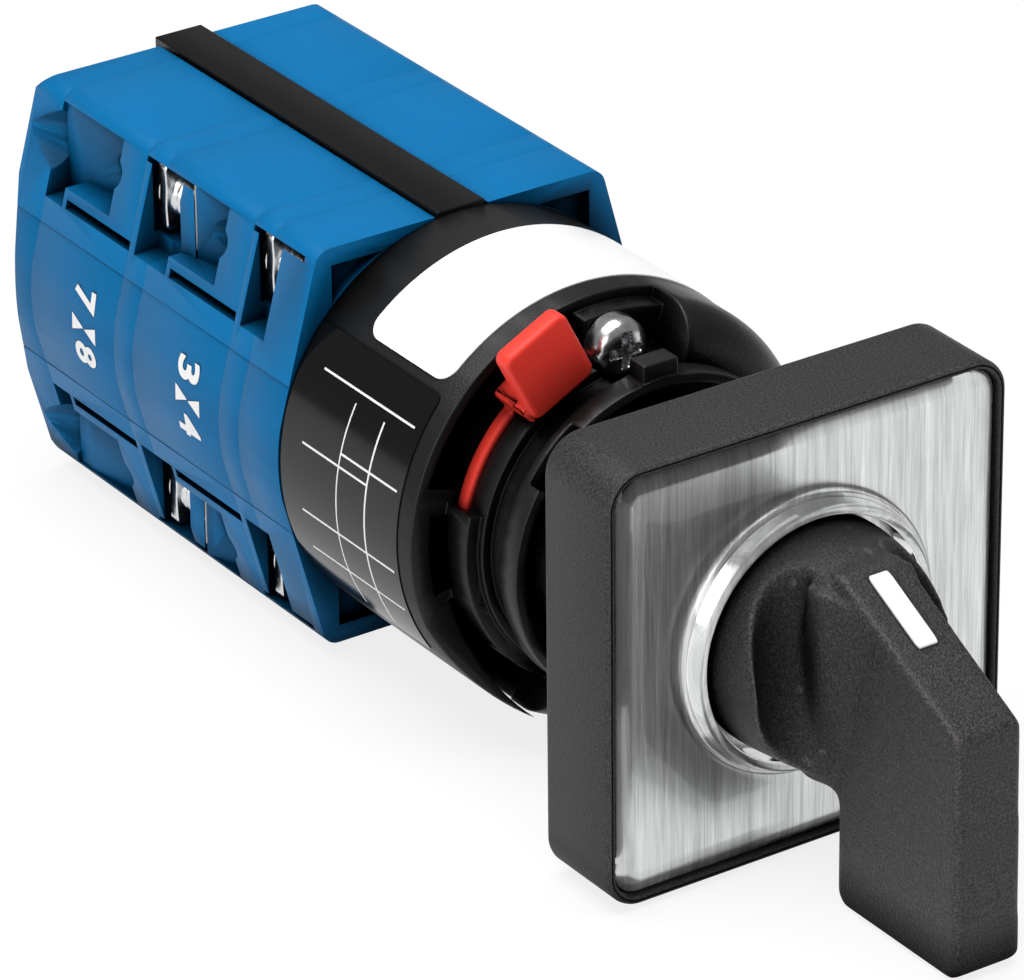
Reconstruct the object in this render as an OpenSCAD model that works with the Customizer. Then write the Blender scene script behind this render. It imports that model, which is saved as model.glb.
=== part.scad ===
// Panel-mounted rotary changeover switch: square escutcheon and finger-grip handle in front of the
// panel, a round adapter with a red locking lever behind it, and a two-stage block of cam contacts.
// Frame: X to the right, Y to the rear, Z up. The origin is the centre of the escutcheon's rear face,
// which is the face that seats on the panel. Clock angles are seen from the front: 0 is up, + is right.

/* [Escutcheon] */
// Width and height of the square escutcheon
bezel_w = 30; // [29:0.5:31]
// Depth of the escutcheon in front of the panel
bezel_d = 6.8; // [6.6:0.1:7.2]
// Corner radius of the escutcheon
bezel_corner_r = 2.5; // [2:0.1:3]
// Width of the rim that frames the clear window
bezel_rim_w = 0.65; // [0.5:0.05:0.8]
// Thickness of the clear window
window_t = 1.2; // [1:0.1:1.3]
// Thickness of the metal legend plate
legend_t = 0.5; // [0.4:0.1:0.6]

/* [Handle] */
// Radius of the handle's skirt where it meets the window
skirt_r = 7.85; // [7.6:0.05:7.95]
// Thickness of the grip blade
blade_w = 4.9; // [4.6:0.1:5.2]
// How far the grip blade stands in front of the escutcheon
blade_reach = 18.4; // [17:0.2:20]
// How far the grip blade reaches below the axis
blade_drop = 15.2; // [14.4:0.1:15.6]
// Turn of the handle from the middle position to either side, in degrees
handle_throw = 60; // [60:1:60]

/* [Adapter] */
// Radius of the round adapter housing
housing_r = 14.3; // [14.2:0.05:14.4]
// Length of the round adapter housing
housing_l = 15.3; // [14.8:0.1:16]
// Distance from the panel face to the front of the housing
housing_y = 15.9; // [15.7:0.1:16.2]
// Radius of the collar that locates in the panel hole
collar_r = 11.15; // [11.05:0.05:11.15]
// Radius of the mounting neck behind the escutcheon
neck_r = 9; // [8.9:0.05:9.05]
// Reach of the red locking lever from the axis
lever_reach = 16.8; // [16.2:0.1:17.4]
// Width of the red locking lever
lever_w = 5.1; // [4.8:0.1:5.3]

/* [Contact block] */
// Height of the contact block
block_h = 28.5; // [28.4:0.1:28.9]
// Width of the contact block at its top and bottom
block_top_w = 22; // [21.8:0.1:22.2]
// Radius of the rounded sides of the contact block
block_side_r = 14.4; // [14.35:0.05:14.5]
// Length of the front plate of the block
plate_l = 4.8; // [4.7:0.1:5.4]
// Length of each contact stage with its separator
stage_l = 13.1; // [13:0.1:13.6]
// Thickness of the separator in front of each stage
separator_l = 2.4; // [2.3:0.1:2.5]
// Length of the rear cover
cover_l = 3.6; // [3.5:0.1:4.2]
// Width of the black straps that hold the stack together
strap_w = 3.7; // [3.5:0.1:3.8]
// Travel of each contact plunger from the middle to either end
plunger_travel = 0.8; // [0.8:0.01:0.8]
// Open distance between bridge and fixed contact in the middle position
contact_gap = 0.85; // [0.85:0.01:0.9]

/* [Hidden] */

// Resolution of round shapes
round_fn = 96;
// Overrun of every cut past the face it opens
over = 0.3;
// Clearance of seated pieces, and running clearance of turning ones
seat_gap = 0.05;
run_gap = 0.05;

// Escutcheon
front_y = -bezel_d;
recess_d = window_t + legend_t;
bearing_front_y = front_y + recess_d;
window_w = bezel_w - 2 * bezel_rim_w;
window_corner_r = bezel_corner_r - bezel_rim_w;
window_side_gap = 0.05;
ring_h = 0.9;
ring_play = 0.4;
ring_w = 1.1;
ring_in_r = skirt_r + ring_play;
ring_out_r = ring_in_r + ring_w;
seal_in_r = 11.8;
seal_out_r = 13.4;
seal_d = 1;

// Handle
journal_r = 4.5;
journal_end_y = 2.2;
bearing_set = 0.2;
knob_lift = 0.15;
knob_base_y = bearing_front_y - legend_t - knob_lift;
skirt_l = 0.3;
skirt_y = front_y - skirt_l;
hub_taper = 0.6;
hub_l = 5.9;
hub_front_r = skirt_r - hub_taper;
hub_front_y = front_y - hub_l;
blade_step = 0.3;
blade_lean = 0.2;
blade_front_y = front_y - blade_reach;
blade_back_y = hub_front_y - blade_step - blade_lean / 2;
slope_top = [hub_front_y - blade_step, hub_front_r + blade_step / 2];
slope_end_z = 1.3;
slope_low = [blade_front_y + blade_lean, slope_end_z];
slope_a = atan((slope_top[1] - slope_low[1]) / (slope_top[0] - slope_low[0]));
blade_corner = 0.7;
blade_root_z = 8;
scoop_r = 2.4;
scoop_x = 5.1;
scoop_set = 0.2;
scoop_tilt = 10;
clip_t = 0.7;
clip_r = 6;
clip_groove_r = 3.9;
clip_groove_l = 0.8;
clip_groove_y = run_gap - bearing_set;
clip_mouth_w = 4;
mark_w = 1.5;
mark_l = 5.8;
mark_corner_r = 0.3;
mark_t = 0.25;
mark_proud = 0.05;
mark_start = 0.75;

// Coupling shaft and drive shaft
square_w = 5;
square_gap = 0.1;
coupling_inset = 2.2;
coupling_front_y = bearing_front_y + coupling_inset;
hub_r = 4.6;
drive_inset = 1.7;
coupling_depth = 10.8;
drive_front_y = housing_y + drive_inset;
coupling_rear_y = drive_front_y + coupling_depth;
cam_square_w = 5.6;
rear_journal_r = 2.7;
rear_journal_l = 2.3;

// Stations of the contact block
plate_y = housing_y + housing_l;
stage_1_y = plate_y + plate_l;
stage_2_y = stage_1_y + stage_l;
cover_y = stage_2_y + stage_l;
rear_y = cover_y + cover_l;
hub_end_gap = 0.1;
hub_end_y = stage_1_y - hub_end_gap;

// Mounting neck and its bayonet lugs
neck_in_r = 7.6;
neck_inset = 1.2;
neck_end_y = housing_y + neck_inset;
neck_lug_l = 1.1;
neck_lug_r = 10.05;
neck_lug_a = 8;
key_slot_a = neck_lug_a + 1;
neck_stop_gap = 0.1;

// Adapter
collar_y = 8.8;
collar_wall = 0.75;
collar_l = 1.8;
web_t = 0.6;
tube_r = 10.2;
ring_b_r = 10.9;
ring_b_l = 1.8;
ring_b_gap = 1.2;
ring_b_y = housing_y - ring_b_gap - ring_b_l;
key_lug_w = 2.65;
key_lug_top = 12.3;
key_lug_inset = 0.1;
collar_notch = [-57, -33];
collar_notch_d = 1.1;
dome_h = 4.7;
dome_y = housing_y - dome_h;
dome_round_r = 3;
dome_clock = [18, 210];
ramp_clock = [-150, -110];
ramp_h = 3.7;
ramp_y = housing_y - ramp_h;
ramp_tilt = 22;
pocket_d = 4;
slot_d = 4.8;
travel_slot = [-72, -8];
travel_slot_r = [10.25, 13.5];
c_pocket = [-106, -80];
c_pocket_r = [10.6, 12.85];
trough_centre = [1.2, -3];
trough_r = 12.6;
trough_clock = [-152, -110];
trough_in_r = 11.2;
pad_clock = [-8, 18];
pad_h = 1.3;
pad_y = housing_y - pad_h;
pad_r = 13.5;
cavity_r = 12.4;
front_wall = 5.6;
cavity_y = housing_y + front_wall;
ring_slot_end = -176;
boss_r = 2.2;
nose_window_clock = [-134, -76];
ring_cover_r = 11.8;
ring_cover_set = 0.5;
ring_cover_clock = [-178, -76];

// Locking lever
lever_ring_l = 1.05;
lever_ring_y = housing_y - lever_ring_l - run_gap;
lever_ring_r = [10.3, 11.2];
lever_clock = -27;
lever_ring_clock = [-140, -14];
lever_nose_clock = [-101, -79];
lever_nose_r = 9.15;
lever_tab_set = 4.2;
lever_tab_y = housing_y - lever_tab_set;
lever_tab_t = 1.45;
lever_tab_in_r = 11.4;
lever_arm_r = [11.1, 12.6];
lever_arm_clock = [-40, -20];

// Adapter screws
adapter_screw_z = 11.5;
adapter_screw_r = 1.2;
adapter_screw_end = 1.4;
pan_head_r = 2;
pan_head_h = 2;
head_gap = 0.2;
driver_slot_w = 0.55;
driver_slot_l = 2.6;
driver_slot_d = 0.9;

// Labels
label_t = 0.1;
rating_angles = [-45.5, 62];
rating_set = 1.8;
rating_l = 9.1;
rating_y = [housing_y + rating_set, housing_y + rating_set + rating_l];
data_angles = [-125, -48.5];
data_front_set = 1.5;
data_rear_set = 0.3;
data_y = [housing_y + data_front_set, plate_y - data_rear_set];

// Detent
wheel_r = 6.6;
wheel_set = 1.5;
wheel_l = 4.8;
wheel_y = [cavity_y + wheel_set, cavity_y + wheel_set + wheel_l];
wheel_notch_r = 1.6;
wheel_groove_at = 7.4;
notch_count = 6;
wheel_key_w = 1.2;
wheel_key_h = 0.6;
roller_r = 1.5;
roller_gap = 0.1;
roller_x = wheel_r + roller_r + roller_gap;
slide_set = 0.3;
detent_spring_l = 2.1;
slide_x = [roller_x + slide_set, cavity_r - detent_spring_l];
slide_half_w = 1.7;
rib_t = 1;
rib_in_x = roller_x - rib_t;

// Contact stages
stage_floor = 1.2;
shaft_hole_r = 4.2;
chamber_x = 11.25;
chamber_z = 7.55;
spring_pocket_x = 12.9;
spring_pocket_r = 2.4;
mid_l = 7.2;
cam_mean_r = 5.6;
cam_l = 3.4;
cam_steps = 72;
plunger_gap = 0.15;
plunger_nose_r = 1.2;
plunger_w = 4;
plunger_l = 3;
stub_r = 0.9;
stub_l = 1.6;
blade_t = 0.8;
blade_x = 7.8;
bridge_x = blade_x + blade_t + contact_gap;
bridge_t = 0.8;
bridge_z = 7.2;
bridge_hole_r = 1.05;
guide_x = [6.8, 8.3];
guide_z = 3.9;
guide_front_l = 2.7;
guide_gap = 0.06;
spring_r = 1.5;
spring_wire_r = 0.2;
spring_turns = 4;
spring_sides = 8;
spring_ring_count = 12;

// Terminals
terminal_t = 0.8;
terminal_set = 3.5;
terminal_z = [8.5, 13.2];
terminal_x = 10.8;
leg_z = [4.4, 7.5];
leg_end_l = 8.9;
terminal_gap = 0.1;
opening_l = 2.15;
opening_end_l = 1.75;
plate_opening_l = 1.1;
terminal_room_l = 3.6;
opening_x = 11;
opening_z = [8.2, 13.5];
cavity_in_x = 6.6;
ledge_z = [7.65, 8.3];
ledge_nose_l = 2.6;
ledge_slot_z = 7;
ledge_slot_x = 12;
recess_l = 5.4;
recess_rear_x = 11.7;
recess_front_x = 10.2;
terminal_screw_at = [9, 10.9];
terminal_screw_r = 1.6;
clamp_l = 0.7;
clamp_t = 1;
clamp_size = [3.8, 4.8];
terminal_head_r = 1.85;
terminal_head_h = 1.9;
head_cavity_r = 1.95;
head_cavity_l = 3.9;
tool_hole_r = 1.4;
tool_tilt = 40;

// Rear cover notches
notch_at = [12.6, 11.05];
notch_front_r = 2.25;
notch_rear_r = 0.72;
notch_l = 3.1;
cover_edge = 1;

// Straps
strap_t = 0.95;
strap_proud = 0.3;
strap_side_gap = 0.2;
hook_l = 1;
hook_drop = 0.65;

// Front plate pockets
plate_pocket_d = 0.9;
plate_pocket_x = 10;
plate_pocket_z = 13;

// Block outline
top_z = block_h / 2;
top_x = block_top_w / 2;
side_slope_w = 3.86;
vertex_x = top_x + side_slope_w;
waist_z = 5.3;
block_corner_r = 1.2;
corner_steps = 6;
side_a = atan((vertex_x - top_x) / top_z);

// Colours
housing_blue = [0.03, 0.32, 0.6];
mould_black = [0.17, 0.17, 0.17];
knob_grey = [0.22, 0.21, 0.21];
signal_red = [0.8, 0.2, 0.17];
label_white = [0.94, 0.94, 0.93];
zinc = [0.75, 0.76, 0.77];
brass = [0.8, 0.65, 0.32];
aluminium = [0.74, 0.75, 0.76];
clear_tint = [0.85, 0.9, 0.92, 0.5];
nylon = [0.88, 0.87, 0.82];

// Helpers
function clock_pt(r, a) = [r * sin(a), r * cos(a)];

module prism(y0, y1) {
    translate([0, y1, 0]) rotate([90, 0, 0]) linear_extrude(y1 - y0) children();
}

module rod(r, y0, y1) {
    prism(y0, y1) circle(r = r, $fn = round_fn);
}

module lathe() {
    rotate([-90, 0, 0]) rotate_extrude($fn = round_fn) children();
}

module slab(x0, x1) {
    translate([x0, 0, 0]) rotate([90, 0, 90]) linear_extrude(x1 - x0) children();
}

module box(lo, hi) {
    translate(lo) cube(hi - lo);
}

module wedge(clock, r) {
    steps = 8;
    span = clock[1] - clock[0];
    arc = [for (i = [0 : steps]) clock_pt(r, clock[0] + span * i / steps)];
    polygon(concat([[0, 0]], arc));
}

module ring(r_in, r_out) {
    difference() {
        circle(r = r_out, $fn = round_fn);
        circle(r = r_in, $fn = round_fn);
    }
}

module arc_ring(r_in, r_out, clock) {
    intersection() {
        ring(r_in, r_out);
        wedge(clock, 2 * housing_r);
    }
}

module round_rect(w, h, r) {
    square([w - 2 * r, h], center = true);
    square([w, h - 2 * r], center = true);
    for (x = [-1, 1], z = [-1, 1])
        translate([x * (w / 2 - r), z * (h / 2 - r)]) circle(r = r, $fn = round_fn);
}

module four_corners() {
    for (x = [0, 1], z = [0, 1])
        mirror([x, 0, 0]) mirror([0, 0, z]) children();
}

// Coil of round wire along +Z from the origin
module coil(r, wire_r, length, turns) {
    count = turns * spring_ring_count;
    pitch_a = atan(length / (turns * 2 * PI * r));
    function section(i) = [for (k = [0 : spring_sides - 1])
        let (a = 360 * i / spring_ring_count, u = 360 * k / spring_sides,
            out = wire_r * cos(u), up = wire_r * sin(u))
        [(r + out) * cos(a) + up * sin(a) * sin(pitch_a),
         (r + out) * sin(a) - up * cos(a) * sin(pitch_a),
         length * i / count + up * cos(pitch_a)]];
    points = [for (i = [0 : count]) each section(i)];
    sides = [for (i = [0 : count - 1], k = [0 : spring_sides - 1])
        let (n = (k + 1) % spring_sides, b = i * spring_sides)
        [b + k, b + spring_sides + k, b + spring_sides + n, b + n]];
    first = [for (k = [0 : spring_sides - 1]) k];
    last = [for (k = [spring_sides - 1 : -1 : 0]) count * spring_sides + k];
    polyhedron(points = points, faces = concat([first], sides, [last]), convexity = turns);
}

// Outline of the contact block: flat top, sloping upper sides and a rounded waist
module block_outline() {
    corner_in = block_corner_r * tan((90 - side_a) / 2);
    cx = top_x - corner_in;
    cz = top_z - block_corner_r;
    arc = [for (i = [0 : corner_steps])
        [cx, cz] + clock_pt(block_corner_r, (90 - side_a) * i / corner_steps)];
    upper = concat(arc, [[vertex_x, 0]]);
    right = concat(upper, [for (i = [len(arc) - 1 : -1 : 0]) [arc[i][0], -arc[i][1]]]);
    difference() {
        polygon(concat(right, [for (i = [len(right) - 1 : -1 : 0]) [-right[i][0], right[i][1]]]));
        for (s = [-1, 1]) difference() {
            translate([s * block_side_r, 0]) square([block_top_w / 2, 2 * waist_z], center = true);
            circle(r = block_side_r, $fn = round_fn);
        }
    }
}

module strap_channels() {
    for (s = [0, 1]) mirror([0, 0, s]) {
        half_w = strap_w / 2 + strap_side_gap;
        floor_z = top_z + strap_proud - strap_t - seat_gap;
        box([-half_w, plate_y - over, floor_z], [half_w, rear_y + over, top_z + over]);
    }
}

// Side opening over the terminal at the joint at y, from front_l ahead of the joint to end_l behind it
module side_opening(y, front_l, end_l) {
    reach = block_top_w;
    box([opening_x, y - front_l, ledge_z[1]], [reach, y + end_l, opening_z[1]]);
    box([opening_x, y - min(front_l, ledge_nose_l), ledge_slot_z], [reach, y + end_l, opening_z[1]]);
}

// Inner space of the terminal at the joint at y: plate and screw, leg, screw head and way in for the driver
module terminal_space(y) {
    front_y = y - terminal_room_l;
    box([cavity_in_x, front_y, opening_z[0]], [opening_x + over, y + separator_l, opening_z[1]]);
    box([blade_x - terminal_gap, front_y, leg_z[0] - terminal_gap],
        [blade_x + blade_t + terminal_gap, y + separator_l + over, opening_z[0] + over]);
    translate([terminal_screw_at[0], 0, terminal_screw_at[1]]) {
        rod(head_cavity_r, y + separator_l - over, y + head_cavity_l);
        translate([0, y + clamp_l + clamp_t + terminal_head_h, 0]) rotate([0, 0, -tool_tilt])
            rod(tool_hole_r, 0, recess_l);
    }
}

// Slot under the ledge behind the joint at y, and recess whose floor slopes from rear_x
module terminal_relief(y, rear_x) {
    box([ledge_slot_x, y - ledge_nose_l, ledge_slot_z],
        [block_top_w, y + stage_l - ledge_nose_l, ledge_z[0]]);
    translate([0, 0, ledge_z[1]]) linear_extrude(opening_z[1] - ledge_z[1])
        polygon([[block_top_w, y + recess_l], [recess_front_x, y + recess_l],
            [rear_x, y + stage_l - opening_l + over], [block_top_w, y + stage_l - opening_l + over]]);
}

module separator(y) {
    difference() {
        prism(y, y + separator_l) block_outline();
        rod(shaft_hole_r, y - over, y + separator_l + over);
        four_corners() {
            side_opening(y, opening_l, opening_end_l);
            terminal_space(y);
        }
        strap_channels();
    }
}

module stage(y) {
    mid = y + mid_l;
    end = y + stage_l;
    floor_y = end - stage_floor;
    difference() {
        prism(y + separator_l, end) block_outline();
        difference() {
            box([-chamber_x, y, -chamber_z], [chamber_x, floor_y, chamber_z]);
            for (s = [0, 1]) mirror([s, 0, 0]) plunger_guide(mid, floor_y + over);
        }
        rod(shaft_hole_r, floor_y - over, end + over);
        for (s = [-1, 1]) translate([0, mid, 0]) rotate([0, s * 90, 0])
            translate([0, 0, chamber_x - over])
                cylinder(r = spring_pocket_r, h = spring_pocket_x - chamber_x + over, $fn = round_fn);
        four_corners() {
            terminal_space(y);
            side_opening(end, opening_l, over);
            terminal_relief(y, y < stage_2_y ? recess_rear_x : opening_x);
        }
        if (y < stage_2_y) four_corners() terminal_space(end);
        strap_channels();
    }
}

module plunger_guide(mid, end) {
    difference() {
        box([guide_x[0], mid - guide_front_l, -guide_z], [guide_x[1], end, guide_z]);
        box([guide_x[0] - over, mid - plunger_l / 2 - guide_gap, -plunger_w / 2 - guide_gap],
            [guide_x[1] + over, mid + plunger_l / 2 + guide_gap, plunger_w / 2 + guide_gap]);
    }
}

// Cam radius at a clock angle: highest at the top, lowest at the bottom, even slopes between
function cam_rise(a) = max(-1, min(1, (90 - abs(a)) / handle_throw));
function cam_radius(a) = cam_mean_r + plunger_travel * cam_rise(a);

module cam(y) {
    edge = [for (i = [0 : cam_steps - 1]) let (a = 360 * i / cam_steps - 180) clock_pt(cam_radius(a), a)];
    mid = y + mid_l;
    prism(mid - cam_l / 2, mid + cam_l / 2) difference() {
        polygon(edge);
        square(cam_square_w + square_gap, center = true);
    }
}

// Plunger on the right side: rounded nose at the cam, shoulder for the bridge, stub for the spring
module plunger(y) {
    mid = y + mid_l;
    nose_x = cam_mean_r + plunger_gap + plunger_nose_r;
    intersection() {
        translate([nose_x, 0, 0]) rod(plunger_nose_r, mid - plunger_l / 2, mid + plunger_l / 2);
        box([0, mid - plunger_l, -plunger_w], [nose_x, mid + plunger_l, plunger_w]);
    }
    box([nose_x, mid - plunger_l / 2, -plunger_w / 2], [bridge_x, mid + plunger_l / 2, plunger_w / 2]);
    translate([bridge_x, mid, 0]) rotate([0, 90, 0]) cylinder(r = stub_r, h = stub_l, $fn = round_fn);
}

module bridge(y) {
    mid = y + mid_l;
    difference() {
        box([bridge_x, mid - plunger_l / 2, -bridge_z],
            [bridge_x + bridge_t, mid + plunger_l / 2, bridge_z]);
        translate([0, mid, 0]) rotate([0, 90, 0])
            cylinder(r = bridge_hole_r, h = block_top_w, $fn = round_fn);
    }
}

module contact_spring(y) {
    length = spring_pocket_x - bridge_x - bridge_t - 2 * spring_wire_r;
    translate([bridge_x + bridge_t + spring_wire_r, y + mid_l, 0]) rotate([0, 90, 0])
        coil(spring_r, spring_wire_r, length, spring_turns);
}

// Fixed contact at the upper right of the joint at y: clamp plate, leg and contact end
module terminal(y) {
    difference() {
        box([blade_x, y - terminal_set, terminal_z[0]],
            [terminal_x, y - terminal_set + terminal_t, terminal_z[1]]);
        translate([terminal_screw_at[0], 0, terminal_screw_at[1]])
            rod(terminal_screw_r, y - terminal_set - over, y);
    }
    box([blade_x, y - terminal_set, leg_z[0]],
        [blade_x + blade_t, y - terminal_set + terminal_t, terminal_z[0]]);
    box([blade_x, y - terminal_set, leg_z[0]], [blade_x + blade_t, y + leg_end_l, leg_z[1]]);
}

module driver_cross(y) {
    for (s = [driver_slot_w, driver_slot_l])
        box([-s / 2, y - over, -(driver_slot_w + driver_slot_l - s) / 2],
            [s / 2, y + driver_slot_d, (driver_slot_w + driver_slot_l - s) / 2]);
}

// Front element
module bezel() color(mould_black) {
    difference() {
        union() {
            prism(front_y, 0) round_rect(bezel_w, bezel_w, bezel_corner_r);
            rod(neck_r, -over, neck_end_y);
            prism(neck_end_y - neck_lug_l, neck_end_y) for (side = [-90, 90])
                arc_ring(neck_r - over, neck_lug_r, [side - neck_lug_a, side + neck_lug_a]);
        }
        prism(front_y - over, bearing_front_y) round_rect(window_w, window_w, window_corner_r);
        rod(journal_r + run_gap, front_y, over);
        rod(neck_in_r, -bearing_set, neck_end_y + over);
        prism(-seal_d, over) ring(seal_in_r, seal_out_r);
    }
}

module legend_plate() color(aluminium) {
    w = window_w - 2 * window_side_gap;
    prism(bearing_front_y - legend_t, bearing_front_y) difference() {
        round_rect(w, w, window_corner_r);
        circle(r = journal_r + window_side_gap + run_gap, $fn = round_fn);
    }
}

module window() color(clear_tint) {
    w = window_w - 2 * window_side_gap;
    difference() {
        union() {
            prism(front_y, front_y + window_t) round_rect(w, w, window_corner_r);
            lathe() polygon([[ring_in_r, front_y + window_t / 2], [ring_in_r, front_y - ring_h],
                [ring_out_r - ring_h / 2, front_y - ring_h], [ring_out_r, front_y],
                [ring_out_r, front_y + window_t / 2]]);
        }
        rod(ring_in_r, front_y - 2 * ring_h, 0);
    }
}

module panel_seal() color(mould_black) {
    prism(-seal_d, 0) ring(seal_in_r, seal_out_r);
}

module handle() color(knob_grey) {
    difference() {
        union() {
            lathe() polygon([[0, knob_base_y], [skirt_r, knob_base_y], [skirt_r, skirt_y],
                [hub_front_r, hub_front_y], [0, hub_front_y]]);
            slab(-blade_w / 2, blade_w / 2) blade_outline();
            rod(journal_r, knob_base_y - over, journal_end_y);
        }
        for (s = [-1, 1]) translate([s * scoop_x, hub_front_y + scoop_set, 0]) rotate([-scoop_tilt, 0, 0])
            cylinder(r = scoop_r, h = 4 * skirt_r, center = true, $fn = round_fn);
        mark_place() translate([0, 0, -mark_t]) linear_extrude(2 * mark_t) mark_outline();
        square_hole = square_w + square_gap;
        prism(coupling_front_y - square_gap, journal_end_y + over) square(square_hole, center = true);
        prism(clip_groove_y, clip_groove_y + clip_groove_l) ring(clip_groove_r, 2 * journal_r);
    }
}

module blade_outline() {
    foot = hub_front_y + over;
    polygon([[foot, slope_top[1]], slope_top, slope_low,
        [blade_front_y - blade_lean, -blade_drop + blade_corner],
        [blade_front_y - blade_lean + blade_corner, -blade_drop],
        [blade_back_y - blade_corner, -blade_drop], [blade_back_y, -blade_drop + blade_corner],
        [blade_back_y, -blade_root_z], [foot, -hub_front_r]]);
}

module mark_place() {
    translate([0, slope_top[0], slope_top[1]]) rotate([slope_a, 0, 0])
        translate([0, -mark_start - mark_l / 2, 0]) children();
}

module mark_outline() {
    round_rect(mark_w, mark_l, mark_corner_r);
}

module handle_mark() color(label_white) {
    mark_place() translate([0, 0, -mark_t]) linear_extrude(mark_t + mark_proud) mark_outline();
}

module handle_clip() color(zinc) {
    start = clip_groove_y + (clip_groove_l - clip_t) / 2;
    prism(start, start + clip_t) difference() {
        ring(clip_groove_r + seat_gap, clip_r);
        translate([0, -clip_r / 2]) square([clip_mouth_w, clip_r], center = true);
    }
}

module coupling_shaft() color(zinc) {
    prism(coupling_front_y, coupling_rear_y) square(square_w, center = true);
}

// Adapter behind the panel
module adapter() color(mould_black) {
    difference() {
        union() {
            prism(collar_y, collar_y + collar_l) ring(collar_r - collar_wall, collar_r);
            rod(collar_r, collar_y + collar_l - web_t, collar_y + collar_l);
            box([-key_lug_w / 2, collar_y + key_lug_inset, collar_r - collar_wall],
                [key_lug_w / 2, collar_y + collar_l - key_lug_inset, key_lug_top]);
            rod(tube_r, collar_y + collar_l - web_t, housing_y + over);
            rod(ring_b_r, ring_b_y, ring_b_y + ring_b_l);
            prism(ring_b_y + ring_cover_set, housing_y + over)
                arc_ring(tube_r, ring_cover_r, ring_cover_clock);
            rod(housing_r, housing_y, plate_y);
            adapter_dome();
            adapter_ramp();
            prism(pad_y, housing_y + over) arc_ring(tube_r - over, pad_r, pad_clock);
        }
        prism(collar_y - over, collar_y + collar_notch_d)
            arc_ring(tube_r, 2 * collar_r, collar_notch);
        rod(neck_r + seat_gap, 0, neck_end_y + neck_stop_gap);
        prism(0, neck_end_y + neck_stop_gap) for (side = [-90, 90])
            arc_ring(0, neck_lug_r + seat_gap, [side - key_slot_a, side + key_slot_a]);
        rod(hub_r + run_gap, housing_y, plate_y + over);
        prism(ring_b_y + ring_b_l, housing_y)
            arc_ring(tube_r, lever_ring_r[1] + run_gap, [ring_slot_end, pad_clock[0]]);
        prism(ring_b_y + ring_b_l, housing_y)
            arc_ring(neck_r, tube_r + over, nose_window_clock);
        prism(housing_y - over, housing_y + slot_d)
            arc_ring(travel_slot_r[0], travel_slot_r[1], travel_slot);
        prism(housing_y - over, housing_y + pocket_d) arc_ring(c_pocket_r[0], c_pocket_r[1], c_pocket);
        adapter_trough();
        adapter_cavity();
        for (s = [-1, 1]) translate([0, 0, s * adapter_screw_z]) {
            rod(adapter_screw_r + seat_gap, housing_y - 2 * pan_head_h, plate_y + over);
            rod(pan_head_r + head_gap, collar_y + collar_l + over, pad_y);
        }
    }
}

module adapter_dome() {
    intersection() {
        lathe() difference() {
            translate([tube_r - over, dome_y]) square([housing_r - tube_r + over, housing_y - dome_y + over]);
            difference() {
                translate([housing_r - dome_round_r, dome_y]) square(dome_round_r);
                translate([housing_r - dome_round_r, dome_y + dome_round_r])
                    circle(r = dome_round_r, $fn = round_fn);
            }
        }
        prism(0, plate_y) wedge(dome_clock, 2 * housing_r);
    }
}

// Low wall at the lower left that climbs forward until it meets the dome
module adapter_ramp() {
    mid_clock = (ramp_clock[0] + ramp_clock[1]) / 2;
    chord = 2 * housing_r * sin((ramp_clock[1] - ramp_clock[0]) / 2);
    intersection() {
        prism(ramp_y, housing_y + over) difference() {
            arc_ring(trough_in_r, housing_r, ramp_clock);
            translate(trough_centre) circle(r = trough_r, $fn = round_fn);
        }
        rotate([0, mid_clock, 0]) translate([-chord / 2, ramp_y, 0]) rotate([0, 0, ramp_tilt])
            translate([-chord, 0, -housing_r]) cube([3 * chord, 2 * housing_r, 3 * housing_r]);
    }
}

module adapter_trough() {
    prism(housing_y - over, housing_y + pocket_d) intersection() {
        arc_ring(trough_in_r, 2 * housing_r, trough_clock);
        translate(trough_centre) circle(r = trough_r, $fn = round_fn);
    }
}

module adapter_cavity() {
    difference() {
        rod(cavity_r, cavity_y, plate_y + over);
        for (s = [-1, 1]) translate([0, 0, s * adapter_screw_z]) rod(boss_r, cavity_y, plate_y);
        for (s = [-1, 1], t = [0, 1]) mirror([t, 0, 0])
            box([rib_in_x, cavity_y, s * (slide_half_w + seat_gap + rib_t / 2) - rib_t / 2],
                [cavity_r, wheel_y[1], s * (slide_half_w + seat_gap + rib_t / 2) + rib_t / 2]);
    }
}

module lock_lever() color(signal_red) {
    prism(lever_ring_y, lever_ring_y + lever_ring_l) {
        arc_ring(lever_ring_r[0], lever_ring_r[1], lever_ring_clock);
        arc_ring(lever_nose_r, lever_ring_r[1], lever_nose_clock);
    }
    prism(lever_tab_y + lever_tab_t / 2, lever_ring_y + lever_ring_l)
        arc_ring(lever_arm_r[0], lever_arm_r[1], lever_arm_clock);
    prism(lever_ring_y, lever_ring_y + lever_ring_l)
        arc_ring(lever_ring_r[0], lever_arm_r[1], lever_arm_clock);
    rotate([0, lever_clock, 0]) translate([0, 0, (lever_tab_in_r + lever_reach) / 2])
        prism(lever_tab_y, lever_tab_y + lever_tab_t)
            round_rect(lever_w, lever_reach - lever_tab_in_r, blade_corner);
}

module adapter_screws() color(zinc) {
    for (s = [-1, 1]) translate([0, 0, s * adapter_screw_z]) difference() {
        union() {
            rod(adapter_screw_r, pad_y - over, stage_1_y - adapter_screw_end);
            rod(pan_head_r, pad_y - pan_head_h, pad_y);
        }
        driver_cross(pad_y - pan_head_h);
    }
}

module rating_label() color(label_white) {
    prism(rating_y[0], rating_y[1]) arc_ring(housing_r, housing_r + label_t, rating_angles);
}

module data_label() color(mould_black) {
    prism(data_y[0], data_y[1]) arc_ring(housing_r, housing_r + label_t, data_angles);
}

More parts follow.
